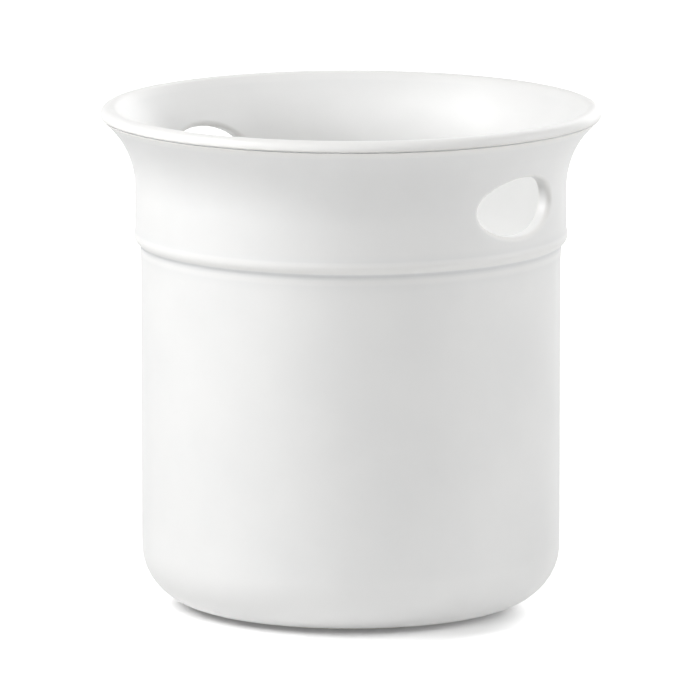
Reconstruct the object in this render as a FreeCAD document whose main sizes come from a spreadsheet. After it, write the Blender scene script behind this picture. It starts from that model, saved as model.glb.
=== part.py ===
"""White glazed utensil crock, built up from clay sections that are luted together and then glazed.

Millimetres, +Z up. The origin is the middle of the foot on the table. The near finger hole faces +X, and
the far one, cut by eye, sits a little higher and not quite opposite. Every piece is turned about Z, so its
outline is drawn as radius against height.
"""
import FreeCAD, Part

import math
import os
from dataclasses import dataclass

import Sketcher

# How far off the oval of a finger hole, as a share of its size, an edge still counts as lying on it
OVAL_SLACK_SHARE = 1e-3

# Driving dimensions in millimetres, apart from two angles in degrees and one share
SIZES = {
    "body_diameter": 148.0,
    "clay_wall": 4.7,
    "glaze_coat": 0.4,
    "slip_layer": 0.3,
    "foot_height": 1.2,
    "foot_width": 6.0,
    "foot_inset": 1.0,
    "foot_seat": 1.0,
    "foot_edge_round": 0.5,
    "floor_thickness": 6.0,
    "base_round": 20.0,
    "inside_round": 14.0,
    "base_seam_rise": 5.0,
    "base_seam_lap": 4.0,
    "belt_height": 131.6,
    "throat_taper": 26.0,
    "bead_rise": 0.55,
    "ridge_width": 3.6,
    "ridge_rise": 0.35,
    "ridge_seat": 1.2,
    "ridge_gap": 0.8,
    "collar_step": 2.0,
    "collar_foot_share": 0.7,
    "flare_radius": 32.1,
    "flare_rise": 24.5,
    "lip_roll": 2.8,
    "lip_rise": 3.86,
    "lip_overhang": 0.8,
    "lip_notch": 1.2,
    "lip_notch_rise": 1.1,
    "lip_slope_degrees": 40.0,
    "hole_width": 39.2,
    "hole_height": 20.8,
    "hole_sill": 7.6,
    "hole_edge_round": 1.8,
    "far_hole_raise": 2.8,
    "far_hole_turn_degrees": 4.0,
    "cut_overrun": 5.0,
}

doc = FreeCAD.newDocument("UtensilCrock")
sheet = doc.addObject("Spreadsheet::Sheet", "Sizes")
for row, (alias, value) in enumerate(SIZES.items(), start=1):
    sheet.set(f"A{row}", alias)
    sheet.set(f"B{row}", str(value))
    sheet.setAlias(f"B{row}", alias)
doc.recompute()

# Radii of the bare clay
wall_outer = "(Sizes.body_diameter / 2 - Sizes.glaze_coat)"
wall_inner = f"({wall_outer} - Sizes.clay_wall)"
wall_middle = f"({wall_outer} - Sizes.clay_wall / 2)"
neck_outer = f"({wall_outer} + Sizes.collar_step)"
neck_inner = f"({neck_outer} - Sizes.clay_wall)"
neck_middle = f"({neck_outer} - Sizes.clay_wall / 2)"
socket_radius = f"({wall_middle} + Sizes.slip_layer)"
base_flat = f"({wall_outer} + Sizes.glaze_coat - Sizes.base_round)"
floor_flat = f"({wall_inner} - Sizes.inside_round)"
foot_outer = f"({base_flat} - Sizes.foot_inset)"
foot_inner = f"({foot_outer} - Sizes.foot_width)"

# Heights of the foot, the floor and the seam between base and wall
underside = "Sizes.foot_height"
foot_top = "(Sizes.foot_height + Sizes.foot_seat)"
floor_middle = "(Sizes.foot_height + Sizes.clay_wall / 2)"
floor_top = "(Sizes.foot_height + Sizes.floor_thickness)"
floor_round_top = f"({floor_top} + Sizes.inside_round)"
base_round_top = "(Sizes.foot_height + Sizes.base_round - Sizes.glaze_coat)"
base_ledge = f"({base_round_top} + Sizes.base_seam_rise)"
base_spigot_top = f"({base_ledge} + Sizes.base_seam_lap)"
socket_foot = f"({base_ledge} + Sizes.slip_layer)"
socket_top = f"({base_spigot_top} + Sizes.slip_layer)"

# The belt: a bead round the wall that also covers the foot of the collar, and a low ridge below it
bead_radius = "(Sizes.collar_step + Sizes.bead_rise)"
bead_meet = f"sqrt({bead_radius} ^ 2 - Sizes.collar_step ^ 2)"
ridge_height = f"(Sizes.belt_height - {bead_radius} - Sizes.ridge_gap - Sizes.ridge_width / 2)"
ridge_foot = f"({ridge_height} - Sizes.ridge_width / 2)"
ridge_top = f"({ridge_height} + Sizes.ridge_width / 2)"
ridge_seat = f"({wall_outer} - Sizes.ridge_seat)"
ridge_radius = "((Sizes.ridge_width ^ 2 / 4 + Sizes.ridge_rise ^ 2) / (2 * Sizes.ridge_rise))"

# The collar's seat behind the bead, where the wall has thinned inside to meet it, and the holes above
collar_foot = f"(Sizes.belt_height - Sizes.collar_foot_share * {bead_meet})"
belt_ledge = f"({collar_foot} - Sizes.slip_layer)"
throat_foot = f"({belt_ledge} - Sizes.throat_taper)"
hole_middle = f"({collar_foot} + Sizes.hole_sill + Sizes.hole_height / 2)"
far_hole_middle = f"({hole_middle} + Sizes.far_hole_raise)"

# The flare leaves the neck upright, level with the middle of the near hole, and ends flat under the lip
lip_seat = f"({hole_middle} + Sizes.flare_rise)"
flare_centre = f"({neck_outer} + Sizes.flare_radius)"
flare_edge = f"({flare_centre} - sqrt(Sizes.flare_radius ^ 2 - Sizes.flare_rise ^ 2))"

# The lip is a roll that hangs over the edge of the flare, with a notch between the two
roll_place = f"({flare_edge} + Sizes.lip_overhang - Sizes.lip_roll)"
roll_height = f"({lip_seat} + Sizes.lip_rise - Sizes.lip_roll)"
notch_inside = f"({flare_edge} - Sizes.lip_notch)"
lip_edge = f"({lip_seat} + Sizes.lip_notch_rise)"


@dataclass
class Corner:
    """A corner of a turned outline, and the line or arc that leads from it to the next corner."""

    radius: str
    height: str
    arc: str = ""
    turn: int = 1


@dataclass
class FingerHole:
    """A finger hole: the height of its middle, and its bearing round Z from +X in degrees."""

    name: str
    middle: str
    bearing: str


FINGER_HOLES = [
    FingerHole("near", hole_middle, "0"),
    FingerHole("far", far_hole_middle, "(180 - Sizes.far_hole_turn_degrees)"),
]


def roll_edge(coat, height):
    """Corner on the outer side of the lip's roll, where the arc round the roll begins.

    Args:
        coat: thickness of what lies on the roll's clay, as an expression.
        height: the corner's height, as an expression.

    Returns:
        The corner, with the arc that leads on to the roll's end.
    """
    reach = f"(Sizes.lip_roll + {coat})"
    return Corner(f"({roll_place} + sqrt({reach} ^ 2 - ({height} - {roll_height}) ^ 2))", height, reach)


def roll_end(coat):
    """Corner where the roll ends inside the mouth and its slope begins, with a coat on its clay."""
    reach = f"(Sizes.lip_roll + {coat})"
    radius = f"({roll_place} - {reach} * cos(Sizes.lip_slope_degrees))"
    return Corner(radius, f"({roll_height} + {reach} * sin(Sizes.lip_slope_degrees))")


def slope_foot(coat):
    """Corner where the lip's slope comes down to its seat, with a coat on its clay."""
    top = roll_end(coat)
    return Corner(f"({top.radius} - ({top.height} - {lip_seat}) * tan(Sizes.lip_slope_degrees))", lip_seat)


def upright_arc(foot_radius, end):
    """Radius of the arc that leaves the neck upright, level with the near hole, and reaches a corner.

    Args:
        foot_radius: radius of the neck where the arc starts, as an expression.
        end: the corner that the arc reaches.

    Returns:
        The arc's radius as an expression.
    """
    reach = f"({end.radius} - {foot_radius})"
    rise = f"({end.height} - {hole_middle})"
    return f"(({reach} ^ 2 + {rise} ^ 2) / (2 * {reach}))"


def evaluate(expression):
    """Value of an expression of the sheet's sizes."""
    return float(sheet.evalExpression(expression))


def attached_sketch(body, name):
    """New sketch on the YZ plane of a body, with Y across and Z up."""
    sketch = body.newObject("Sketcher::SketchObject", name)
    plane = next(feature for feature in body.Origin.OriginFeatures if feature.Role == "YZ_Plane")
    sketch.AttachmentSupport = [(plane, "")]
    sketch.MapMode = "FlatFace"
    return sketch


def bind(sketch, kind, elements, expression):
    """Add a dimension to a sketch and bind it to an expression."""
    index = sketch.addConstraint(Sketcher.Constraint(kind, *elements, evaluate(expression)))
    sketch.setExpression(f"Constraints[{index}]", expression)


def arc_between(start, end, radius, turn):
    """Arc of under half a circle from start to end, anticlockwise where turn is 1."""
    chord = end - start
    side = FreeCAD.Vector(-chord.y, chord.x, 0).normalize() * turn
    reach = math.sqrt(radius ** 2 - (chord.Length / 2) ** 2)
    centre = (start + end) / 2 + side * reach
    circle = Part.Circle(centre, FreeCAD.Vector(0, 0, 1), radius)
    first, last = (start, end) if turn > 0 else (end, start)
    return Part.ArcOfCircle(circle, circle.parameter(first), circle.parameter(last))


def outline_sketch(body, name, corners):
    """Closed outline of lines and arcs, with each corner bound to its radius and height."""
    sketch = attached_sketch(body, name)
    places = [FreeCAD.Vector(evaluate(c.radius), evaluate(c.height), 0) for c in corners]
    ends = []
    for index, corner in enumerate(corners):
        start = places[index]
        end = places[(index + 1) % len(corners)]
        if corner.arc:
            edge = sketch.addGeometry(arc_between(start, end, evaluate(corner.arc), corner.turn))
        else:
            edge = sketch.addGeometry(Part.LineSegment(start, end))
        backwards = bool(corner.arc) and corner.turn < 0
        ends.append((edge, 2 if backwards else 1, 1 if backwards else 2))
    for index, corner in enumerate(corners):
        edge, first, last = ends[index]
        next_edge, next_first, _ = ends[(index + 1) % len(corners)]
        sketch.addConstraint(Sketcher.Constraint("Coincident", edge, last, next_edge, next_first))
        if places[index].x == 0:
            sketch.addConstraint(Sketcher.Constraint("PointOnObject", edge, first, -2))
        else:
            bind(sketch, "DistanceX", (edge, first), corner.radius)
        if places[index].y == 0:
            sketch.addConstraint(Sketcher.Constraint("PointOnObject", edge, first, -1))
        else:
            bind(sketch, "DistanceY", (edge, first), corner.height)
        if corner.arc:
            bind(sketch, "Radius", (edge,), corner.arc)
    return sketch


def turned_body(label, corners):
    """Body turned about Z from an outline.

    Args:
        label: name of the piece.
        corners: the outline, in order.

    Returns:
        The body.
    """
    body = doc.addObject("PartDesign::Body", f"{label}_body")
    body.Label = label
    sketch = outline_sketch(body, f"{label}_outline", corners)
    turned = body.newObject("PartDesign::Revolution", f"{label}_turned")
    turned.Profile = sketch
    turned.ReferenceAxis = (sketch, ["V_Axis"])
    doc.recompute()
    return body


def round_edges(body, label, edges, radius):
    """Round edges of a body's last feature, named by their indices, to a radius expression."""
    rounded = body.newObject("PartDesign::Fillet", label)
    rounded.Base = (rounded.BaseFeature, [f"Edge{index}" for index in edges])
    rounded.setExpression("Radius", radius)
    doc.recompute()


def hole_edges(shape, hole, half_width, half_height):
    """Indices of the curved edges that run round one finger hole, lying on the oval of its cut."""
    middle = evaluate(hole.middle)
    facing = FreeCAD.Rotation(FreeCAD.Vector(0, 0, 1), evaluate(hole.bearing)).inverted()
    found = []
    for index, edge in enumerate(shape.Edges, start=1):
        points = [facing.multVec(p) for p in edge.discretize(5)]
        ovals = [math.hypot(p.y / half_width, (p.z - middle) / half_height) for p in points]
        on_oval = all(math.isclose(value, 1, abs_tol=OVAL_SLACK_SHARE) for value in ovals)
        on_side = all(p.x > 0 for p in points)
        if on_oval and on_side and not isinstance(edge.Curve, Part.Line):
            found.append(index)
    return found


def cut_finger_hole(body, label, hole, margin, edge_round):
    """Cut an oval finger hole through one side of a body, and round its edges.

    Args:
        body: the turned collar or glazed form to cut.
        label: prefix for the names of the features.
        hole: where the hole is.
        margin: what the cut is larger by all round than the finished hole, as an expression.
        edge_round: radius of the rounded edges, as an expression.
    """
    width = f"(Sizes.hole_width + 2 * {margin})"
    height = f"(Sizes.hole_height + 2 * {margin})"
    half_width = evaluate(width) / 2
    half_height = evaluate(height) / 2
    middle = FreeCAD.Vector(0, evaluate(hole.middle), 0)
    side = FreeCAD.Vector(half_width, 0, 0)
    top = FreeCAD.Vector(0, half_height, 0)
    sketch = attached_sketch(body, f"{label}_{hole.name}_oval")
    facing = FreeCAD.Rotation(FreeCAD.Vector(0, 1, 0), evaluate(hole.bearing))
    sketch.AttachmentOffset = FreeCAD.Placement(FreeCAD.Vector(), facing)
    if evaluate(hole.bearing):
        sketch.setExpression("AttachmentOffset.Rotation.Angle", hole.bearing)
    oval = sketch.addGeometry(Part.Ellipse(middle + side, middle + top, middle))
    sketch.exposeInternalGeometry(oval)
    long_axis = oval + 1
    short_axis = oval + 2
    sketch.addConstraint(Sketcher.Constraint("PointOnObject", oval, 3, -2))
    sketch.addConstraint(Sketcher.Constraint("Horizontal", long_axis))
    bind(sketch, "DistanceY", (oval, 3), hole.middle)
    bind(sketch, "Distance", (long_axis,), width)
    bind(sketch, "Distance", (short_axis,), height)
    solid_volume = body.Shape.Volume
    pocket = body.newObject("PartDesign::Pocket", f"{label}_{hole.name}_hole")
    pocket.Profile = sketch
    pocket.Type = "ThroughAll"
    pocket.Reversed = True
    doc.recompute()
    if pocket.Shape.Volume >= solid_volume:
        raise RuntimeError(f"{label}: the {hole.name} finger hole cuts nothing")
    edges = hole_edges(pocket.Shape, hole, half_width, half_height)
    round_edges(body, f"{label}_{hole.name}_hole_edges", edges, edge_round)


def boolean(kind, label, base, tool):
    """Cut or common of two objects, under its own label."""
    result = doc.addObject(f"Part::{kind}", f"{label}_{kind.lower()}")
    result.Label = label
    result.Base = base
    result.Tool = tool
    return result


def fused(label, pieces):
    """Union of several objects."""
    union = doc.addObject("Part::MultiFuse", label)
    union.Shapes = pieces
    return union


# Foot ring, let into the underside of the base
foot_ring = turned_body("foot_ring", [
    Corner(foot_inner, "0"),
    Corner(foot_outer, "0"),
    Corner(foot_outer, foot_top),
    Corner(foot_inner, foot_top),
])
standing_edges = [
    index
    for index, edge in enumerate(foot_ring.Shape.Edges, start=1)
    if edge.BoundBox.ZMax < evaluate("Sizes.foot_edge_round")
]
round_edges(foot_ring, "foot_ring_edges", standing_edges, "Sizes.foot_edge_round")

# Base dish, with a groove for the foot and a spigot for the wall
base_dish = turned_body("base_dish", [
    Corner("0", underside),
    Corner(foot_inner, underside),
    Corner(foot_inner, foot_top),
    Corner(foot_outer, foot_top),
    Corner(foot_outer, underside),
    Corner(base_flat, underside, "(Sizes.base_round - Sizes.glaze_coat)"),
    Corner(wall_outer, base_round_top),
    Corner(wall_outer, base_ledge),
    Corner(wall_middle, base_ledge),
    Corner(wall_middle, base_spigot_top),
    Corner(wall_inner, base_spigot_top),
    Corner(wall_inner, floor_round_top, "Sizes.inside_round", -1),
    Corner(floor_flat, floor_top),
    Corner("0", floor_top),
])

# Slip in the stepped seam between base and wall
base_seam_slip = turned_body("base_seam_slip", [
    Corner(wall_middle, base_ledge),
    Corner(wall_outer, base_ledge),
    Corner(wall_outer, socket_foot),
    Corner(socket_radius, socket_foot),
    Corner(socket_radius, socket_top),
    Corner(wall_inner, socket_top),
    Corner(wall_inner, base_spigot_top),
    Corner(wall_middle, base_spigot_top),
])

# Lower wall, with a socket below, a groove for the ridge and a seat for the collar above
lower_wall = turned_body("lower_wall", [
    Corner(socket_radius, socket_foot),
    Corner(wall_outer, socket_foot),
    Corner(wall_outer, ridge_foot),
    Corner(ridge_seat, ridge_foot),
    Corner(ridge_seat, ridge_top),
    Corner(wall_outer, ridge_top),
    Corner(wall_outer, belt_ledge),
    Corner(neck_inner, belt_ledge),
    Corner(wall_inner, throat_foot),
    Corner(wall_inner, socket_top),
    Corner(socket_radius, socket_top),
])

# Slip in the flat seam between wall and collar
belt_seam_slip = turned_body("belt_seam_slip", [
    Corner(neck_inner, belt_ledge),
    Corner(wall_outer, belt_ledge),
    Corner(wall_outer, collar_foot),
    Corner(neck_inner, collar_foot),
])

# Collar, seated on the wall, with both finger holes
flare_inner_end = slope_foot("0")
flare_inner_end.arc = upright_arc(neck_inner, flare_inner_end)
collar = turned_body("collar", [
    Corner(neck_inner, collar_foot),
    Corner(neck_outer, collar_foot),
    Corner(neck_outer, hole_middle, "Sizes.flare_radius", -1),
    Corner(flare_edge, lip_seat),
    flare_inner_end,
    Corner(neck_inner, hole_middle),
])
for hole in FINGER_HOLES:
    cut_finger_hole(collar, "collar", hole, "Sizes.glaze_coat", "(Sizes.hole_edge_round - Sizes.glaze_coat)")

# Belt bead, a coil over the seam between wall and collar
belt_bead = turned_body("belt_bead", [
    Corner(wall_outer, f"(Sizes.belt_height - {bead_radius})", bead_radius),
    Corner(f"({wall_outer} + {bead_radius})", "Sizes.belt_height", bead_radius),
    Corner(neck_outer, f"(Sizes.belt_height + {bead_meet})"),
    Corner(neck_outer, collar_foot),
    Corner(wall_outer, collar_foot),
])

# Belt ridge, a low coil pressed into its groove in the wall
belt_ridge = turned_body("belt_ridge", [
    Corner(ridge_seat, ridge_foot),
    Corner(wall_outer, ridge_foot, ridge_radius),
    Corner(wall_outer, ridge_top),
    Corner(ridge_seat, ridge_top),
])

# Rolled lip, a coil laid on the flat end of the flare
rolled_lip = turned_body("rolled_lip", [
    Corner(notch_inside, lip_seat),
    roll_edge("0", lip_edge),
    roll_end("0"),
    slope_foot("0"),
])

# The whole glazed form: every clay surface carried out by the coat, down to the foot
glazed_neck_outer = f"({neck_outer} + Sizes.glaze_coat)"
glazed_neck_inner = f"({neck_inner} - Sizes.glaze_coat)"
glazed_wall_outer = f"({wall_outer} + Sizes.glaze_coat)"
glazed_wall_inner = f"({wall_inner} - Sizes.glaze_coat)"
glazed_floor = f"({floor_top} + Sizes.glaze_coat)"
glazed_underside = f"({underside} - Sizes.glaze_coat)"
glazed_bead = f"({bead_radius} + Sizes.glaze_coat)"
glazed_bead_foot = f"(Sizes.belt_height - sqrt({glazed_bead} ^ 2 - Sizes.glaze_coat ^ 2))"
glazed_step = "(Sizes.collar_step + Sizes.glaze_coat)"
glazed_bead_top = f"(Sizes.belt_height + sqrt({glazed_bead} ^ 2 - {glazed_step} ^ 2))"
glazed_ridge = f"({ridge_radius} + Sizes.glaze_coat)"
glazed_ridge_half = f"sqrt({glazed_ridge} ^ 2 - ({glazed_ridge} - Sizes.ridge_rise) ^ 2)"
glazed_flare = "(Sizes.flare_radius - Sizes.glaze_coat)"
glazed_flare_top = f"({lip_seat} + Sizes.glaze_coat / 4)"
glazed_flare_edge = f"({flare_centre} - sqrt({glazed_flare} ^ 2 - (Sizes.flare_rise + Sizes.glaze_coat / 4) ^ 2))"
notch_bottom = f"({flare_edge} + Sizes.glaze_coat / 4)"
notch_height = f"({lip_seat} + 1.15 * Sizes.glaze_coat)"
glazed_lip_edge = f"({lip_seat} + 2 * Sizes.glaze_coat)"
glazed_flare_inner_end = slope_foot("Sizes.glaze_coat")
glazed_flare_inner_end.arc = upright_arc(glazed_neck_inner, glazed_flare_inner_end)
glazed_form = turned_body("glazed_form", [
    Corner("0", floor_middle),
    Corner(foot_outer, floor_middle),
    Corner(foot_outer, glazed_underside),
    Corner(base_flat, glazed_underside, "Sizes.base_round"),
    Corner(glazed_wall_outer, base_round_top),
    Corner(glazed_wall_outer, f"({ridge_height} - {glazed_ridge_half})", glazed_ridge),
    Corner(glazed_wall_outer, f"({ridge_height} + {glazed_ridge_half})"),
    Corner(glazed_wall_outer, glazed_bead_foot, glazed_bead),
    Corner(glazed_neck_outer, glazed_bead_top),
    Corner(glazed_neck_outer, hole_middle, glazed_flare, -1),
    Corner(glazed_flare_edge, glazed_flare_top),
    Corner(notch_bottom, notch_height),
    roll_edge("Sizes.glaze_coat", glazed_lip_edge),
    roll_end("Sizes.glaze_coat"),
    glazed_flare_inner_end,
    Corner(glazed_neck_inner, hole_middle),
    Corner(glazed_neck_inner, belt_ledge),
    Corner(glazed_wall_inner, throat_foot),
    Corner(glazed_wall_inner, floor_round_top, "(Sizes.inside_round - Sizes.glaze_coat)", -1),
    Corner(floor_flat, glazed_floor),
    Corner("0", glazed_floor),
])
for hole in FINGER_HOLES:
    cut_finger_hole(glazed_form, "glazed_form", hole, "0", "Sizes.hole_edge_round")

# The coat is the glazed form without the clay
clay_pieces = [
    foot_ring, base_dish, base_seam_slip, lower_wall, belt_seam_slip, collar,
    belt_bead, belt_ridge, rolled_lip,
]
clay_whole = fused("clay_whole", clay_pieces)
glaze_shell = boolean("Cut", "glaze_shell", glazed_form, clay_whole)

# It parts in the middle of the wall into the outer coat and the liner
lip_middle = Corner(roll_place, roll_height)
parting_top = f"({roll_height} + Sizes.lip_roll + Sizes.cut_overrun)"
inside_of_wall = turned_body("inside_of_wall", [
    Corner("0", floor_middle),
    Corner(base_flat, floor_middle, f"({wall_middle} - {base_flat})"),
    Corner(wall_middle, base_round_top),
    Corner(wall_middle, belt_ledge),
    Corner(neck_middle, hole_middle, upright_arc(neck_middle, lip_middle), -1),
    lip_middle,
    Corner(lip_middle.radius, parting_top),
    Corner("0", parting_top),
])
outer_glaze = boolean("Cut", "outer_glaze", glaze_shell, inside_of_wall)
liner_glaze = boolean("Common", "liner_glaze", glaze_shell, inside_of_wall)
doc.recompute()

for item in doc.Objects:
    if "Invalid" in item.State or "Error" in item.State:
        raise RuntimeError(f"{item.Label} failed: {item.State}")

os.makedirs("parts", exist_ok=True)
for piece in clay_pieces + [liner_glaze, outer_glaze]:
    shape = piece.Shape
    if shape.isNull() or not shape.isValid():
        raise RuntimeError(f"{piece.Label} has no valid shape")
    shape.exportStep(f"parts/{piece.Label}.step")
    print(f"{piece.Label}: solids {len(shape.Solids)}, volume {shape.Volume:.0f} mm3")
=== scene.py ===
"""White glazed utensil crock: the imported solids, dressed in glaze and bare clay, in a white studio."""

import logging
import math
from dataclasses import dataclass, field
from enum import Enum
from typing import Any

import bmesh
import bpy
import numpy as np
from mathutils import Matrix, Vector


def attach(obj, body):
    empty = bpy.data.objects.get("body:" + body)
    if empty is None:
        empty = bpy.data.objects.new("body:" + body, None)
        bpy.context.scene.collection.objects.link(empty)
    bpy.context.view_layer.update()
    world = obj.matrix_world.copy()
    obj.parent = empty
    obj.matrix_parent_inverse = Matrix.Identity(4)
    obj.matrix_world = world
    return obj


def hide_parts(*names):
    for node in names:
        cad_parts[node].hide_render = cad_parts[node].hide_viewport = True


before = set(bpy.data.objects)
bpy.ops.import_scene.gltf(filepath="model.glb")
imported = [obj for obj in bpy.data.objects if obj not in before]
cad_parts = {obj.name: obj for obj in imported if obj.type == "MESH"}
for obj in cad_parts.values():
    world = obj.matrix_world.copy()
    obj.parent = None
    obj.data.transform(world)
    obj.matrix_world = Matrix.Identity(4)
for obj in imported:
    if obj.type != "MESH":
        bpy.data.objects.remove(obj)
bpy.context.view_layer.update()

MM = 0.001
MIX_SHARE, MIX_FIRST, MIX_SECOND, MIX_COLOUR = 0, 6, 7, 2
log = logging.getLogger("crock")


def to_linear(code: str) -> tuple[float, float, float, float]:
    """Turn an sRGB hex colour into a linear one.

    Args:
        code: six hex digits, such as "F4F4F2".

    Returns:
        Red, green, blue and an alpha of 1.
    """
    shares = [int(code[at:at + 2], 16) / 255 for at in (0, 2, 4)]
    red, green, blue = (s / 12.92 if s <= 0.04045 else ((s + 0.055) / 1.055) ** 2.4 for s in shares)
    return red, green, blue, 1.0


def add_node(
    tree: bpy.types.NodeTree,
    kind: str,
    settings: dict[str, Any] | None = None,
    inputs: dict[str | int, Any] | None = None,
) -> bpy.types.Node:
    """Add a node with its settings, its input values and its links.

    Args:
        tree: the node tree that takes the node.
        kind: the node's type.
        settings: attributes to set on the node.
        inputs: a value, or an output socket to link from, for each input's name or place.

    Returns:
        The new node.
    """
    node = tree.nodes.new(kind)
    for name, value in (settings or {}).items():
        setattr(node, name, value)
    for name, value in (inputs or {}).items():
        if isinstance(value, bpy.types.NodeSocket):
            tree.links.new(value, node.inputs[name])
        else:
            node.inputs[name].default_value = value
    return node


def new_material(name: str) -> tuple[bpy.types.Material, bpy.types.NodeTree]:
    """Make an empty material.

    Args:
        name: what the material is.

    Returns:
        The material and its node tree, with no nodes in it.
    """
    material = bpy.data.materials.new(name)
    material.use_nodes = True
    material.node_tree.nodes.clear()
    return material, material.node_tree


def noise_scale(size_mm: float) -> float:
    """Noise scale that gives features of a real size on coordinates in metres."""
    return 1 / (size_mm * MM)


@dataclass(frozen=True)
class WhiteGlaze:
    """White glaze, dipped and fired to a soft gloss.

    It gives the eye a clean, neutral white with a soft sheen on it. The sheen ripples a little, because
    the molten coat never levels out. The coat runs thin over edges, where the clay warms it, and pools in
    creases, which are painted grey as painted shade.
    """

    name: str
    body: str = "F3F3F2"
    thin: str = "F5F4F1"
    # The two greys below go into creases as painted shade.
    pooled_shade: str = "E4E5E5"
    crease_shade: str = "E0E1E1"
    thin_at: float = 0.1
    body_at: float = 0.5
    pooled_shade_at: float = 0.72
    crease_shade_at: float = 0.92
    cloud_share: float = 0.15
    cloud_mm: float = 35.0
    cloud_detail: float = 3.0
    cloud_span: tuple[float, float] = (0.3, 0.7)
    ripple_mm: float = 9.0
    ripple_depth_mm: float = 0.02
    ripple_detail: float = 1.0
    peel_mm: float = 2.2
    peel_depth_mm: float = 0.0025
    peel_detail: float = 2.0
    roughness: tuple[float, float] = (0.38, 0.46)
    ior: float = 1.45

    def material(self) -> bpy.types.Material:
        """Build the glaze's material.

        Returns:
            The material, driven by the mesh's glaze_pool_and_shade attribute and by noise in real sizes.
        """
        material, tree = new_material(self.name)
        place = add_node(tree, "ShaderNodeTexCoord").outputs["Object"]
        cloud = add_node(tree, "ShaderNodeTexNoise", inputs={
            "Vector": place, "Scale": noise_scale(self.cloud_mm), "Detail": self.cloud_detail,
        }).outputs["Fac"]
        pool_and_shade = add_node(tree, "ShaderNodeAttribute", {"attribute_name": "glaze_pool_and_shade"}).outputs["Fac"]
        drift = add_node(tree, "ShaderNodeMath", {"operation": "MULTIPLY_ADD"}, {
            0: cloud, 1: self.cloud_share, 2: pool_and_shade,
        }).outputs[0]
        # The ramp runs from the thin colour over edges, through the body white, to the greys in creases,
        # which paint shade.
        tint = add_node(tree, "ShaderNodeValToRGB", inputs={"Fac": drift})
        ramp = tint.color_ramp
        ramp.elements[0].position = self.thin_at
        ramp.elements[0].color = to_linear(self.thin)
        ramp.elements[1].position = self.crease_shade_at
        ramp.elements[1].color = to_linear(self.crease_shade)
        ramp.elements.new(self.body_at).color = to_linear(self.body)
        ramp.elements.new(self.pooled_shade_at).color = to_linear(self.pooled_shade)
        gloss = add_node(tree, "ShaderNodeMapRange", inputs={
            "Value": cloud, "From Min": self.cloud_span[0], "From Max": self.cloud_span[1],
            "To Min": self.roughness[0], "To Max": self.roughness[1],
        }).outputs["Result"]
        ripple = add_node(tree, "ShaderNodeTexNoise", inputs={
            "Vector": place, "Scale": noise_scale(self.ripple_mm), "Detail": self.ripple_detail,
        }).outputs["Fac"]
        peel = add_node(tree, "ShaderNodeTexNoise", inputs={
            "Vector": place, "Scale": noise_scale(self.peel_mm), "Detail": self.peel_detail,
        }).outputs["Fac"]
        wave = add_node(tree, "ShaderNodeBump", inputs={
            "Height": ripple, "Distance": self.ripple_depth_mm * MM, "Strength": 1.0,
        }).outputs["Normal"]
        skin = add_node(tree, "ShaderNodeBump", inputs={
            "Height": peel, "Distance": self.peel_depth_mm * MM, "Strength": 1.0, "Normal": wave,
        }).outputs["Normal"]
        shader = add_node(tree, "ShaderNodeBsdfPrincipled", inputs={
            "Base Color": tint.outputs["Color"], "Roughness": gloss, "IOR": self.ior, "Normal": skin,
        })
        add_node(tree, "ShaderNodeOutputMaterial", inputs={"Surface": shader.outputs["BSDF"]})
        return material


@dataclass(frozen=True)
class FiredClay:
    """Stoneware fired without glaze.

    It gives the eye a matt cream that takes no reflection, with darker grit in it and a fine tooth where
    the wet clay was sponged.
    """

    name: str
    body: str = "DDD3C2"
    shade: str = "CFC3AF"
    grit: str = "9C8B74"
    cloud_mm: float = 12.0
    cloud_detail: float = 4.0
    grit_mm: float = 1.1
    grit_share: float = 0.27
    grit_strength: float = 0.7
    tooth_mm: float = 0.6
    tooth_depth_mm: float = 0.06
    tooth_detail: float = 3.0
    tooth_strength: float = 0.8
    roughness: float = 0.86

    def material(self) -> bpy.types.Material:
        """Build the clay's material.

        Returns:
            The material, with clouds, grit and tooth in real sizes.
        """
        material, tree = new_material(self.name)
        place = add_node(tree, "ShaderNodeTexCoord").outputs["Object"]
        cloud = add_node(tree, "ShaderNodeTexNoise", inputs={
            "Vector": place, "Scale": noise_scale(self.cloud_mm), "Detail": self.cloud_detail,
        }).outputs["Fac"]
        ground = add_node(tree, "ShaderNodeMix", {"data_type": "RGBA"}, {
            MIX_SHARE: cloud, MIX_FIRST: to_linear(self.body), MIX_SECOND: to_linear(self.shade),
        }).outputs[MIX_COLOUR]
        cells = add_node(tree, "ShaderNodeTexVoronoi", inputs={
            "Vector": place, "Scale": noise_scale(self.grit_mm),
        }).outputs["Distance"]
        speck = add_node(tree, "ShaderNodeMapRange", inputs={
            "Value": cells, "From Min": self.grit_share / 2, "From Max": self.grit_share,
            "To Min": self.grit_strength, "To Max": 0.0,
        }).outputs["Result"]
        colour = add_node(tree, "ShaderNodeMix", {"data_type": "RGBA"}, {
            MIX_SHARE: speck, MIX_FIRST: ground, MIX_SECOND: to_linear(self.grit),
        }).outputs[MIX_COLOUR]
        tooth = add_node(tree, "ShaderNodeTexNoise", inputs={
            "Vector": place, "Scale": noise_scale(self.tooth_mm), "Detail": self.tooth_detail,
        }).outputs["Fac"]
        grain = add_node(tree, "ShaderNodeBump", inputs={
            "Height": tooth, "Distance": self.tooth_depth_mm * MM, "Strength": self.tooth_strength,
        }).outputs["Normal"]
        shader = add_node(tree, "ShaderNodeBsdfPrincipled", inputs={
            "Base Color": colour, "Roughness": self.roughness, "Normal": grain,
        })
        add_node(tree, "ShaderNodeOutputMaterial", inputs={"Surface": shader.outputs["BSDF"]})
        return material


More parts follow.
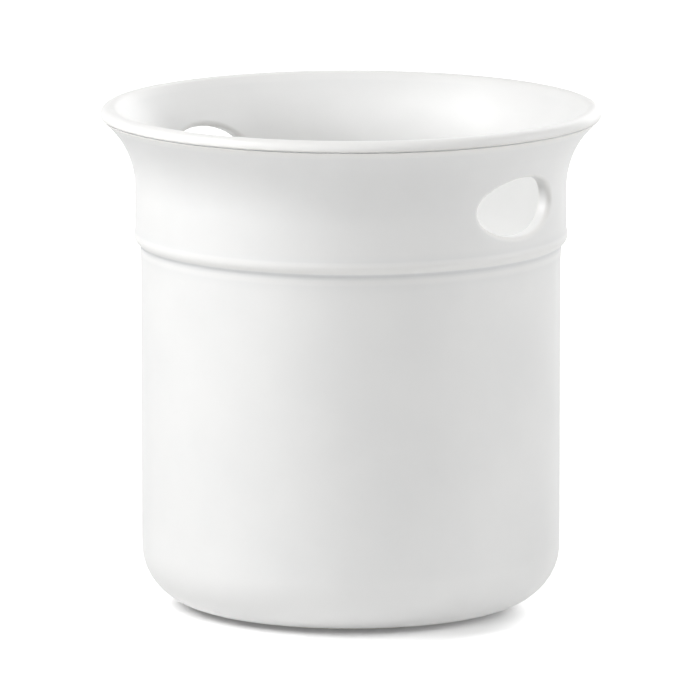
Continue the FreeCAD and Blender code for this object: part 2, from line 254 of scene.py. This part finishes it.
class Outline:
    """A turned outline, drawn as closely spaced points of radius and height in millimetres."""

    spacing_mm = 0.1
    same_point_mm = 0.001
    bell_reach = 3

    def __init__(self, radius: float, height: float) -> None:
        """Start the outline at a point."""
        self.points: list[np.ndarray] = [np.array([[radius, height]])]

    def line(self, radius: float, height: float) -> "Outline":
        """Draw a straight line to a point.

        Args:
            radius: the end's radius.
            height: the end's height.

        Returns:
            The outline, for the next stroke.
        """
        start = self.points[-1][-1]
        end = np.array([radius, height])
        count = max(1, round(float(np.linalg.norm(end - start)) / self.spacing_mm))
        shares = np.linspace(0, 1, count + 1)[1:, None]
        self.points.append(start + (end - start) * shares)
        return self

    def arc(self, centre: tuple[float, float], radius: float, start: float, end: float) -> "Outline":
        """Draw an arc, after a line to where it starts.

        Args:
            centre: radius and height of the arc's centre.
            radius: the arc's own radius.
            start: angle of its start in radians, from the radial direction towards up.
            end: angle of its end in radians.

        Returns:
            The outline, for the next stroke.
        """
        middle = np.array(centre)
        self.line(*(middle + radius * np.array([math.cos(start), math.sin(start)])))
        count = max(2, round(abs(end - start) * radius / self.spacing_mm))
        angles = np.linspace(start, end, count + 1)[1:]
        self.points.append(middle + radius * np.stack([np.cos(angles), np.sin(angles)], axis=1))
        return self

    @classmethod
    def bell(cls, spread_mm: float) -> np.ndarray:
        """Bell-shaped weights, an odd number that add up to 1, for evening out along the outline."""
        reach = round(cls.bell_reach * spread_mm / cls.spacing_mm)
        weights = np.exp(-0.5 * (np.arange(-reach, reach + 1) * cls.spacing_mm / spread_mm) ** 2)
        return weights / weights.sum()

    def follow(self, points: np.ndarray) -> "Outline":
        """Go on along points that are drawn already.

        Args:
            points: radius and height of each point, in order.

        Returns:
            The outline, for the next stroke.
        """
        self.line(*points[0])
        self.points.append(points[1:])
        return self

    def softened(self, spread_mm: float) -> np.ndarray:
        """Even out the outline as molten glaze does.

        Args:
            spread_mm: width of the evening, which rounds corners by about as much.

        Returns:
            The outline's points, evenly spaced, with both ends where they were.
        """
        raw = np.concatenate(self.points)
        raw = raw[np.r_[True, np.linalg.norm(np.diff(raw, axis=0), axis=1) > self.same_point_mm]]
        walk = np.r_[0, np.cumsum(np.linalg.norm(np.diff(raw, axis=0), axis=1))]
        even = np.linspace(0, walk[-1], round(walk[-1] / self.spacing_mm))
        points = np.stack([np.interp(even, walk, raw[:, axis]) for axis in (0, 1)], axis=1)
        weights = self.bell(spread_mm)
        reach = len(weights) // 2
        before = 2 * points[0] - points[reach:0:-1]
        after = 2 * points[-1] - points[-2:-reach - 2:-1]
        padded = np.concatenate([before, points, after])
        return np.stack([np.convolve(padded[:, axis], weights, "valid") for axis in (0, 1)], axis=1)


@dataclass
class Surface:
    """One side of the glazed wall: a softened outline with its normals and its bend.

    The outline runs with the visible side on its right hand, seen with the axis on the left.
    """

    points: np.ndarray
    normals: np.ndarray = field(init=False)
    bend: np.ndarray = field(init=False)
    spread_bend: np.ndarray = field(init=False)
    spread_bend_mm: float = 0.3

    def __post_init__(self) -> None:
        """Work out the normals, the bend, positive over edges and negative in creases, and its spread."""
        ahead = np.gradient(self.points, axis=0)
        ahead /= np.linalg.norm(ahead, axis=1)[:, None]
        self.normals = np.stack([ahead[:, 1], -ahead[:, 0]], axis=1)
        lean = np.unwrap(np.arctan2(ahead[:, 1], ahead[:, 0]))
        self.bend = np.gradient(lean) / Outline.spacing_mm
        weights = Outline.bell(self.spread_bend_mm)
        self.spread_bend = np.convolve(np.pad(self.bend, len(weights) // 2, "edge"), weights, "valid")

    def rows(self, low: float, high: float, count: int) -> tuple[np.ndarray, int]:
        """Choose the outline's rows, even between two heights of the neck and closer where it bends.

        Args:
            low: height where the even rows start.
            high: height where they end.
            count: how many even steps lie between.

        Returns:
            The rows' places along the outline, as fractional indices, and the first even row's number.
        """
        index = np.arange(len(self.points), dtype=float)
        neck = np.flatnonzero(self._on_neck(low, high))
        first, last = neck[0], neck[-1]
        heights = self.points[first:last + 1, 1]
        levels = np.linspace(low, high, count + 1)
        if heights[0] > heights[-1]:
            even = np.interp(levels[::-1], heights[::-1], index[first:last + 1][::-1])
        else:
            even = np.interp(levels, heights, index[first:last + 1])
        below = self._spread(0, even[0])
        above = self._spread(even[-1], len(self.points) - 1)
        return np.concatenate([below[:-1], even, above[1:]]), len(below) - 1

    def _on_neck(self, low: float, high: float) -> np.ndarray:
        """Points of the outline that lie between two heights of the neck."""
        margin = Outline.spacing_mm * 2
        return (self.points[:, 1] > low - margin) & (self.points[:, 1] < high + margin)

    def _spread(self, start: float, end: float) -> np.ndarray:
        """Rows between two places, a few millimetres apart on the straight and closer on bends."""
        longest_mm = 4.0
        largest_turn = math.radians(9)
        pace = Outline.spacing_mm * np.maximum(1 / longest_mm, np.abs(self.bend) / largest_turn)
        walk = np.r_[0, np.cumsum((pace[1:] + pace[:-1]) / 2)]
        index = np.arange(len(self.points), dtype=float)
        from_walk, to_walk = np.interp([start, end], index, walk)
        count = max(1, math.ceil(to_walk - from_walk))
        return np.interp(np.linspace(from_walk, to_walk, count + 1), walk, index)

    def at(self, places: np.ndarray) -> np.ndarray:
        """Radius, height and spread bend at fractional indices, as three columns."""
        index = np.arange(len(self.points), dtype=float)
        columns = (self.points[:, 0], self.points[:, 1], self.spread_bend)
        return np.stack([np.interp(places, index, column) for column in columns], axis=1)

    def inset(self, depth: float, low: float, high: float) -> np.ndarray:
        """The neck, moved into the wall.

        Args:
            depth: how far it moves, square to the surface.
            low: lowest height of the neck that is wanted.
            high: highest height.

        Returns:
            Height, radius and the normal's two parts as four rows, in order of height.
        """
        neck = self._on_neck(low, high)
        moved = self.points[neck] - depth * self.normals[neck]
        table = np.stack([moved[:, 1], moved[:, 0], *self.normals[neck].T])
        return table[:, np.argsort(table[0])]


class Side(Enum):
    """Which side of the wall a coat of glaze is on."""

    OUTER = 1
    LINER = -1


@dataclass
class CrockForm:
    """The crock's glazed form, in millimetres, as the solids have it."""

    wall_radius: float = 74.0
    wall_inside: float = 68.5
    neck_radius: float = 76.0
    neck_inside: float = 70.5
    foot_radius: float = 53.0
    underside: float = 0.8
    base_round: float = 20.0
    floor_top: float = 7.6
    inside_round: float = 13.6
    throat_foot: float = 104.193
    throat_top: float = 130.193
    ridge_height: float = 126.45
    ridge_radius: float = 5.204
    ridge_rise: float = 0.35
    bead_height: float = 131.6
    bead_radius: float = 2.95
    bead_centre: float = 73.6
    hole_height: float = 148.493
    flare_radius: float = 31.7
    flare_top: float = 173.093
    notch: tuple[float, float] = (87.06, 173.453)
    lip_edge: float = 173.793
    lip_centre: tuple[float, float] = (84.96, 174.053)
    lip_radius: float = 3.2
    lip_slope: float = math.radians(40)
    lip_seat: float = 172.993
    soften: float = 0.2
    belt_soften: float = 0.8
    margin_softens: int = 4

    def _belt(self) -> np.ndarray:
        """Draw the ridge and the bead, with the glaze run together in the groove between them."""
        margin = self.margin_softens * self.belt_soften
        ridge_centre = self.wall_radius + self.ridge_rise - self.ridge_radius
        ridge_turn = math.acos((self.wall_radius - ridge_centre) / self.ridge_radius)
        ridge_foot = self.ridge_height - self.ridge_radius * math.sin(ridge_turn)
        belt = Outline(self.wall_radius, ridge_foot - margin)
        belt.arc((ridge_centre, self.ridge_height), self.ridge_radius, -ridge_turn, ridge_turn)
        bead_start = -math.acos((self.wall_radius - self.bead_centre) / self.bead_radius)
        bead_end = math.acos((self.neck_radius - self.bead_centre) / self.bead_radius)
        belt.arc((self.bead_centre, self.bead_height), self.bead_radius, bead_start, bead_end)
        belt.line(self.neck_radius, belt.points[-1][-1][1] + margin)
        return belt.softened(self.belt_soften)

    def surfaces(self) -> dict[Side, Surface]:
        """Draw the whole section, soften it and part it at the lip's crest.

        Returns:
            The outer surface, from the foot up to the crest, and the liner's, from there to the floor.
        """
        quarter = math.pi / 2
        outline = Outline(self.foot_radius, self.underside)
        base_flat = self.wall_radius - self.base_round
        outline.arc((base_flat, self.underside + self.base_round), self.base_round, -quarter, 0)
        outline.follow(self._belt())
        flare_centre = (self.neck_radius + self.flare_radius, self.hole_height)
        flare_turn = math.asin((self.flare_top - self.hole_height) / self.flare_radius)
        outline.arc(flare_centre, self.flare_radius, math.pi, math.pi - flare_turn)
        outline.line(*self.notch)
        lip_start = math.asin((self.lip_edge - self.lip_centre[1]) / self.lip_radius)
        outline.arc(self.lip_centre, self.lip_radius, lip_start, math.pi - self.lip_slope)
        slope_top = outline.points[-1][-1]
        slope_foot = slope_top[0] - (slope_top[1] - self.lip_seat) * math.tan(self.lip_slope)
        outline.line(slope_foot, self.lip_seat)
        reach, rise = slope_foot - self.neck_inside, self.lip_seat - self.hole_height
        sweep = (reach ** 2 + rise ** 2) / (2 * reach)
        turn = math.asin(rise / sweep)
        outline.arc((self.neck_inside + sweep, self.hole_height), sweep, math.pi - turn, math.pi)
        outline.line(self.neck_inside, self.throat_top)
        outline.line(self.wall_inside, self.throat_foot)
        floor_flat = self.wall_inside - self.inside_round
        outline.arc((floor_flat, self.floor_top + self.inside_round), self.inside_round, 0, -quarter)
        outline.line(0, self.floor_top)
        points = outline.softened(self.soften)
        crest = np.array(self.lip_centre) + np.array([0, self.lip_radius])
        split = int(np.argmin(np.linalg.norm(points - crest, axis=1)))
        return {Side.OUTER: Surface(points[:split + 1]), Side.LINER: Surface(points[split:])}


@dataclass
class FingerHole:
    """An oval finger hole with rounded edges, in millimetres, and the patch of mesh that it lies in."""

    bearing: float
    middle: float
    first_row: int
    half_width: float = 19.6
    half_height: float = 10.4
    edge_round: float = 1.8
    surround_rounds: int = 4
    rows: int = 20
    columns: int = 28

    def ring_angles(self) -> np.ndarray:
        """Angles round the oval that meet the patch's border, in order, as rows of angle, column and row."""
        columns, rows = self.columns, self.rows
        border = [(column, row) for row in range(rows + 1) for column in range(columns + 1)
                  if row in (0, rows) or column in (0, columns)]
        across = np.array([2 * column / columns - 1 for column, _ in border])
        up = np.array([2 * row / rows - 1 for _, row in border])
        angle = np.arctan2(up, across)
        order = np.argsort(angle)
        places = np.array(border)
        return np.stack([angle, places[:, 0], places[:, 1]], axis=1)[order]

    def edge_centres(
        self, surface: Surface, angles: np.ndarray,
    ) -> tuple[np.ndarray, np.ndarray, np.ndarray]:
        """Where the rounded edge's centre lies, all round one side of the wall.

        Args:
            surface: the side of the wall.
            angles: angles round the oval.

        Returns:
            The centres, the wall's normals there and the directions to the hole, as x, across and up.
        """
        out = np.stack([np.cos(angles) * self.half_height, np.sin(angles) * self.half_width], axis=1)
        out /= np.linalg.norm(out, axis=1)[:, None]
        across = self.half_width * np.cos(angles) + self.edge_round * out[:, 0]
        height = self.middle + self.half_height * np.sin(angles) + self.edge_round * out[:, 1]
        reach = self.half_height + self.surround_rounds * self.edge_round
        table = surface.inset(self.edge_round, self.middle - reach, self.middle + reach)
        radius, normal_out, normal_up = (np.interp(height, table[0], column) for column in table[1:])
        depth = np.sqrt(radius ** 2 - across ** 2)
        centres = np.stack([depth, across, height], axis=1)
        normals = np.stack([
            normal_out * depth / radius, normal_out * across / radius, normal_up,
        ], axis=1)
        inward = np.stack([np.zeros_like(across), -out[:, 0], -out[:, 1]], axis=1)
        return centres, normals, inward


@dataclass
class GlazeCoat:
    """One coat of glaze, as a closed skin over its side of the wall."""

    name: str
    node: str
    side: Side
    finish: WhiteGlaze
    holes: tuple[FingerHole, ...] = (
        FingerHole(bearing=0.0, middle=148.493, first_row=0),
        FingerHole(bearing=math.radians(176), middle=151.293, first_row=2),
    )
    neck: tuple[float, float] = (134.8, 167.8)
    neck_rows: int = 22
    columns: int = 240
    skin_mm: float = 0.3
    edge_steps: int = 8
    ring_shares: tuple[float, ...] = (0.25, 0.5, 0.72, 0.9)
    ring_margin: float = 2.0
    # The pool value picks the glaze colour: low over edges, high in creases, where it paints shade.
    flat_pool_and_shade: float = 0.45
    pool_and_shade_swing: float = 0.4
    pool_and_shade_bend: float = 0.9
    edge_thinning: float = 0.25

    def build(self, surfaces: dict[Side, Surface]) -> bpy.types.Object:
        """Build the coat, dress it and set it in place of its solid.

        Args:
            surfaces: both sides of the wall.

        Returns:
            The coat's object.
        """
        points, pool_and_shade, faces = self._sheet(surfaces)
        mesh = bpy.data.meshes.new(self.name)
        mesh.from_pydata((points * MM).tolist(), [], faces)
        mesh.validate()
        attribute = mesh.attributes.new("glaze_pool_and_shade", "FLOAT", "POINT")
        attribute.data.foreach_set("value", pool_and_shade.astype(np.float32))
        mesh.shade_smooth()
        coat = bpy.data.objects.new(self.name, mesh)
        bpy.context.collection.objects.link(coat)
        self._close(coat)
        mesh.materials.append(self.finish.material())
        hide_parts(self.node)
        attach(coat, "root")
        log.info("%s: %d points, %d faces", self.name, len(points), len(faces))
        return coat

    def _sheet(self, surfaces: dict[Side, Surface]) -> tuple[np.ndarray, np.ndarray, list[list[int]]]:
        """The visible sheet: turned rows with a ringed patch round each hole.

        Args:
            surfaces: both sides of the wall.

        Returns:
            Points in millimetres, the pool value of each and the faces.
        """
        surface = surfaces[self.side]
        places, neck_first = surface.rows(*self.neck, self.neck_rows)
        rows = surface.at(places)
        at_axis = rows[-1, 0] < Outline.spacing_mm
        if at_axis:
            rows = rows[:-1]
        angles = 2 * math.pi * np.arange(self.columns) / self.columns
        points = [np.stack([
            rows[:, None, 0] * np.cos(angles), rows[:, None, 0] * np.sin(angles),
            np.broadcast_to(rows[:, None, 1], (len(rows), self.columns)),
        ], axis=2).reshape(-1, 3)]
        pool_and_shade = [np.repeat(self._pool_and_shade(rows[:, 2]), self.columns)]
        cut = np.zeros((len(rows) - 1, self.columns), dtype=bool)
        faces: list[list[int]] = []
        count = len(points[0])
        for hole in self.holes:
            first_row = neck_first + hole.first_row
            if self.side is Side.LINER:
                first_row = neck_first + self.neck_rows - hole.first_row - hole.rows
            first = round(hole.bearing / (2 * math.pi) * self.columns) - hole.columns // 2
            span = np.arange(first, first + hole.columns) % self.columns
            cut[first_row:first_row + hole.rows, span] = True
            rings, values, ring_faces = self._patch(hole, surfaces, rows, first_row, first, count)
            sine, cosine = math.sin(hole.bearing), math.cos(hole.bearing)
            turn = np.array([[cosine, -sine, 0], [sine, cosine, 0], [0, 0, 1]])
            points.append(rings @ turn.T)
            pool_and_shade.append(values)
            faces += ring_faces
            count += len(rings)
        for row, column in zip(*np.nonzero(~cut)):
            low, high = row * self.columns, (row + 1) * self.columns
            beside = (column + 1) % self.columns
            faces.append([low + column, low + beside, high + beside, high + column])
        if at_axis:
            rim = (len(rows) - 1) * self.columns
            points.append(np.array([[0.0, 0.0, rows[-1, 1]]]))
            pool_and_shade.append(np.array([self.flat_pool_and_shade]))
            faces += [[rim + at, rim + (at + 1) % self.columns, count] for at in range(self.columns)]
        return self._without_loose(np.concatenate(points), np.concatenate(pool_and_shade), faces)

    def _patch(
        self,
        hole: FingerHole,
        surfaces: dict[Side, Surface],
        rows: np.ndarray,
        first_row: int,
        first: int,
        start: int,
    ) -> tuple[np.ndarray, np.ndarray, list[list[int]]]:
        """Rings from the border of a hole's patch to its edge and on to the middle of the wall.

        Args:
            hole: the hole.
            surfaces: both sides of the wall.
            rows: the turned rows.
            first_row: number of the patch's first row.
            first: number of the patch's first column.
            start: number that the first new point gets.

        Returns:
            The new points, with x out through the hole, their pool values, and the faces.
        """
        border = hole.ring_angles()
        angles = border[:, 0]
        columns = border[:, 1].astype(int)
        levels = border[:, 2].astype(int)
        if self.side is Side.LINER:
            levels = hole.rows - levels
        ring = ((first_row + levels) * self.columns + (first + columns) % self.columns).tolist()
        surface = surfaces[self.side]
        centres, normals, inward = hole.edge_centres(surface, angles)
        other = Side.LINER if self.side is Side.OUTER else Side.OUTER
        far_centres = hole.edge_centres(surfaces[other], angles)[0]
        contact = centres + hole.edge_round * normals
        border_turn = (first + columns) * (2 * math.pi / self.columns) - hole.bearing
        border_height = rows[first_row + levels, 1]
        contact_turn = np.arctan2(contact[:, 1], contact[:, 0])
        neck = surface.inset(0, self.neck[0] - self.ring_margin, self.neck[1] + self.ring_margin)
        rings = []
        values = []
        for share in self.ring_shares:
            turn = border_turn + (contact_turn - border_turn) * share
            height = border_height + (contact[:, 2] - border_height) * share
            radius = np.interp(height, neck[0], neck[1])
            rings.append(np.stack([radius * np.cos(turn), radius * np.sin(turn), height], axis=1))
            values.append(np.full(len(angles), self.flat_pool_and_shade))
        opening = np.arccos(np.clip((normals * inward).sum(axis=1), -1, 1))[:, None]
        for number in range(self.edge_steps + 1):
            share = number / self.edge_steps
            towards = np.sin((1 - share) * opening) * normals + np.sin(share * opening) * inward
            rings.append(centres + hole.edge_round * (towards / np.sin(opening)))
            thickness = self.flat_pool_and_shade - self.edge_thinning * math.sin(math.pi * share)
            values.append(np.full(len(angles), thickness))
        middle = rings[-1].copy()
        middle[:, 0] = (centres[:, 0] + far_centres[:, 0]) / 2
        rings.append(middle)
        values.append(np.full(len(angles), self.flat_pool_and_shade))
        size = len(angles)
        faces = []
        for number in range(len(rings)):
            inner = [start + number * size + at for at in range(size)]
            for at in range(size):
                beside = (at + 1) % size
                face = [ring[at], ring[beside], inner[beside], inner[at]]
                faces.append(face if self.side is Side.OUTER else face[::-1])
            ring = inner
        return np.concatenate(rings), np.concatenate(values), faces

    def _pool_and_shade(self, bend: np.ndarray) -> np.ndarray:
        """How thick the glaze lies for a bend per millimetre: least over edges, most in creases, where the
        high value also paints shade.
        """
        return self.flat_pool_and_shade - self.pool_and_shade_swing * np.tanh(bend / self.pool_and_shade_bend)

    @staticmethod
    def _without_loose(
        points: np.ndarray, pool_and_shade: np.ndarray, faces: list[list[int]],
    ) -> tuple[np.ndarray, np.ndarray, list[list[int]]]:
        """Drop the points that no face uses.

        Args:
            points: all points.
            pool_and_shade: their pool values.
            faces: the faces.

        Returns:
            The points and values in use, and the faces with their new numbers.
        """
        used = np.zeros(len(points), dtype=bool)
        for face in faces:
            used[face] = True
        number = np.cumsum(used) - 1
        return points[used], pool_and_shade[used], [[int(number[corner]) for corner in face] for face in faces]

    def _close(self, coat: bpy.types.Object) -> None:
        """Give the sheet its thickness, with crisp borders where the two coats meet."""
        sheet = bmesh.new()
        sheet.from_mesh(coat.data)
        for edge in sheet.edges:
            edge.smooth = not edge.is_boundary
        sheet.to_mesh(coat.data)
        sheet.free()
        skin = coat.modifiers.new("skin", "SOLIDIFY")
        skin.thickness = self.skin_mm * MM
        skin.offset = -1.0


@dataclass
class BareClay:
    """The clay sections: the foot and the underside show, and the rest lies under the glaze."""

    clay: FiredClay = FiredClay("fired_stoneware")
    slip: FiredClay = FiredClay(
        "fired_slip", body="E2DACB", shade="D6CCBA", grit_share=0.12, tooth_depth_mm=0.03,
    )
    clay_nodes: tuple[str, ...] = (
        "foot_ring", "base_dish", "lower_wall", "collar", "belt_bead", "belt_ridge", "rolled_lip",
    )
    slip_nodes: tuple[str, ...] = ("base_seam_slip", "belt_seam_slip")

    def dress(self) -> None:
        """Give every clay solid its finish."""
        for finish, nodes in ((self.clay, self.clay_nodes), (self.slip, self.slip_nodes)):
            material = finish.material()
            for node in nodes:
                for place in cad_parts[node].material_slots:
                    place.material = material
                log.info("%s: %s", node, finish.name)


@dataclass(frozen=True)
class Panel:
    """A soft studio panel, placed by its bearing from the camera, positive to the camera's right."""

    name: str
    bearing: float
    height: float
    distance: float
    width: float
    tall: float
    watts: float
    aim_height: float = 0.09


@dataclass
class Studio:
    """White studio: floor, soft panels, surroundings and the camera, in metres."""

    azimuth: float = math.radians(39.0)
    camera_distance: float = 3.4079
    camera_height: float = 0.6818
    camera_aim: float = 0.0898
    lens_mm: float = 504.1
    sensor_mm: float = 36.0
    sight: float = 100.0
    shift_x: float = -0.0012
    floor_half: float = 6.0
    floor_colour: str = "FBFBFB"
    contact_edges: tuple[float, float] = (0.052, 0.07)
    shadow_bearing: float = math.radians(-10)
    shadow_ahead: float = 0.03
    shadow_edges: tuple[float, float] = (0.055, 0.085)
    shadow_glow: float = 0.12
    panels: tuple[Panel, ...] = (
        Panel("left_panel", math.radians(-75), 1.25, 1.25, 1.0, 1.0, 21.8),
        Panel("front_panel", math.radians(-15), 1.25, 1.25, 1.0, 1.0, 8.6),
        Panel("right_panel", math.radians(90), 0.7, 1.5, 0.9, 1.1, 11.5),
        Panel("back_panel", math.radians(150), 0.7, 1.5, 0.9, 1.1, 8.5),
    )

    def build(self) -> None:
        """Set up the whole studio."""
        self._camera()
        self._floor()
        self._surroundings()
        for panel in self.panels:
            self._panel(panel)
        bpy.context.scene.view_settings.view_transform = "Standard"

    def _direction(self, bearing: float) -> Vector:
        """Level direction from the crock for a bearing from the camera."""
        return Vector((math.sin(self.azimuth + bearing), -math.cos(self.azimuth + bearing), 0))

    def _camera(self) -> None:
        """Place the camera as the photograph has it."""
        data = bpy.data.cameras.new("camera")
        data.sensor_width = self.sensor_mm
        data.lens = self.lens_mm
        data.shift_x = self.shift_x
        data.clip_end = self.sight
        camera = bpy.data.objects.new("camera", data)
        bpy.context.collection.objects.link(camera)
        camera.location = self._direction(0) * self.camera_distance + Vector((0, 0, self.camera_height))
        aim = Vector((0, 0, self.camera_aim)) - camera.location
        camera.rotation_euler = aim.to_track_quat("-Z", "Y").to_euler()
        bpy.context.scene.camera = camera

    def _panel(self, panel: Panel) -> None:
        """Hang one soft panel, aimed at the crock."""
        data = bpy.data.lights.new(panel.name, "AREA")
        data.shape = "RECTANGLE"
        data.size = panel.width
        data.size_y = panel.tall
        data.energy = panel.watts
        light = bpy.data.objects.new(panel.name, data)
        bpy.context.collection.objects.link(light)
        light.location = self._direction(panel.bearing) * panel.distance + Vector((0, 0, panel.height))
        aim = Vector((0, 0, panel.aim_height)) - light.location
        light.rotation_euler = aim.to_track_quat("-Z", "Y").to_euler()

    @staticmethod
    def _mirrored(tree: bpy.types.NodeTree) -> tuple[bpy.types.NodeSocket, bpy.types.NodeSocket]:
        """Light paths that see a surface without being lit by it.

        Args:
            tree: the node tree to add them to.

        Returns:
            Two sockets, 1 for the camera's rays and 1 for those of reflections and glass.
        """
        path = add_node(tree, "ShaderNodeLightPath").outputs
        mirror = add_node(tree, "ShaderNodeMath", {"operation": "MAXIMUM"}, {
            0: path["Is Glossy Ray"], 1: path["Is Transmission Ray"],
        }).outputs[0]
        return path["Is Camera Ray"], mirror

    @staticmethod
    def _beyond(
        tree: bpy.types.NodeTree,
        place: bpy.types.NodeSocket,
        centre: Vector,
        edges: tuple[float, float],
    ) -> bpy.types.NodeSocket:
        """Share that rises from 0 inside a round zone of the floor to 1 beyond it.

        Args:
            tree: the floor's node tree.
            place: the place on the floor.
            centre: middle of the zone.
            edges: distances from there where the rise starts and ends.

        Returns:
            The share's output socket.
        """
        distance = add_node(tree, "ShaderNodeVectorMath", {"operation": "DISTANCE"}, {
            0: place, 1: centre,
        })
        return add_node(tree, "ShaderNodeMapRange", {"interpolation_type": "SMOOTHSTEP"}, {
            "Value": distance.outputs["Value"], "From Min": edges[0], "From Max": edges[1],
        }).outputs["Result"]

    def _floor(self) -> None:
        """Lay a pale floor that keeps the shadow round the foot and before it, and looks white beyond."""
        half = self.floor_half
        mesh = bpy.data.meshes.new("studio_floor")
        corners = [(-half, -half, 0), (half, -half, 0), (half, half, 0), (-half, half, 0)]
        mesh.from_pydata(corners, [], [(0, 1, 2, 3)])
        floor = bpy.data.objects.new("studio_floor", mesh)
        bpy.context.collection.objects.link(floor)
        material, tree = new_material("white_sweep")
        place = add_node(tree, "ShaderNodeTexCoord").outputs["Object"]
        contact = self._beyond(tree, place, Vector((0, 0, 0)), self.contact_edges)
        ahead = self._direction(self.shadow_bearing) * self.shadow_ahead
        shadow = self._beyond(tree, place, ahead, self.shadow_edges)
        open_floor = add_node(tree, "ShaderNodeMath", {"operation": "MINIMUM"}, {
            0: contact, 1: shadow,
        }).outputs[0]
        level = add_node(tree, "ShaderNodeMapRange", inputs={
            "Value": open_floor, "To Min": self.shadow_glow, "To Max": 1.0,
        }).outputs["Result"]
        camera, mirror = self._mirrored(tree)
        glow = add_node(tree, "ShaderNodeMath", {"operation": "MULTIPLY"}, {
            0: camera, 1: level,
        }).outputs[0]
        matt = add_node(tree, "ShaderNodeBsdfDiffuse", inputs={"Color": to_linear(self.floor_colour)})
        shine = add_node(tree, "ShaderNodeEmission", inputs={"Strength": glow})
        both = add_node(tree, "ShaderNodeAddShader", inputs={0: matt.outputs[0], 1: shine.outputs[0]})
        white = add_node(tree, "ShaderNodeEmission", inputs={"Strength": 1.0})
        seen = add_node(tree, "ShaderNodeMixShader", inputs={
            0: mirror, 1: both.outputs[0], 2: white.outputs[0],
        })
        add_node(tree, "ShaderNodeOutputMaterial", inputs={"Surface": seen.outputs[0]})
        mesh.materials.append(material)

    def _surroundings(self) -> None:
        """Surround the crock with plain white that the camera and reflections see."""
        world = bpy.data.worlds.new("studio")
        world.use_nodes = True
        tree = world.node_tree
        tree.nodes.clear()
        camera, mirror = self._mirrored(tree)
        seen = add_node(tree, "ShaderNodeMath", {"operation": "MAXIMUM"}, {
            0: camera, 1: mirror,
        }).outputs[0]
        shine = add_node(tree, "ShaderNodeBackground", inputs={
            "Color": to_linear("FFFFFF"), "Strength": seen,
        })
        add_node(tree, "ShaderNodeOutputWorld", inputs={"Surface": shine.outputs[0]})
        bpy.context.scene.world = world


def main() -> None:
    """Build the crock's pieces in order, then the studio."""
    logging.basicConfig(level=logging.INFO, format="%(name)s: %(message)s")
    surfaces = CrockForm().surfaces()
    for side, node in ((Side.OUTER, "outer_glaze"), (Side.LINER, "liner_glaze")):
        GlazeCoat(f"{node}_coat", node, side, WhiteGlaze(f"white_{node}")).build(surfaces)
    BareClay().dress()
    Studio().build()


if __name__ == "__main__":
    main()
